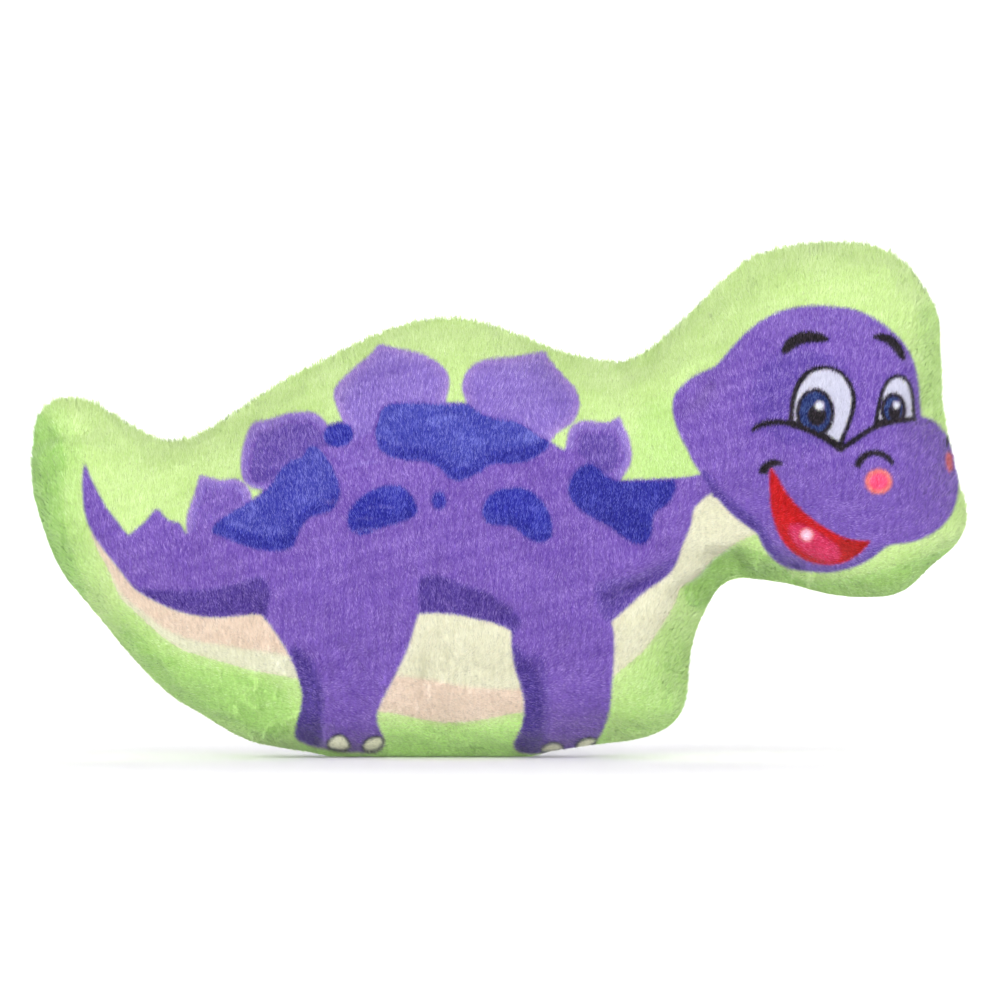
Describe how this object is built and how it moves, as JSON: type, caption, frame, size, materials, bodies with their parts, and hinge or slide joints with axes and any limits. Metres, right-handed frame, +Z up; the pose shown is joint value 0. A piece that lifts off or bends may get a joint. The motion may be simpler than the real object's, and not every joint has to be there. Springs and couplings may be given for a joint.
{
  "type": "stuffed dinosaur pillow toy",
  "caption": "Flat two-panel plush pillow toy cut to the outline of a plated dinosaur, printed with a cartoon dinosaur, sewn all round and stuffed.",
  "frame": {"origin": "centre of the footprint box, on the surface that the toy stands on", "axes": "+X from the tail to the head, +Z up along the dinosaur's back, the printed front panel faces -Y"},
  "size_m": [0.1802, 0.0412, 0.0986],
  "materials": {
    "printed_plush": "short-pile printed plush, violet dinosaur on a light green ground",
    "printed_plush_back": "short-pile printed plush, mirrored print on a light green ground",
    "fibre_filling": "loose white polyester fibre",
    "sewing_thread": "spun polyester sewing thread, matched to the green ground"
  },
  "bodies": {
    "root": {"front_panel": "printed_plush", "back_panel": "printed_plush_back", "filling": "fibre_filling", "seam_needle_thread": "sewing_thread", "seam_bobbin_thread": "sewing_thread", "closing_thread": "sewing_thread"}
  },
  "joints": []
}
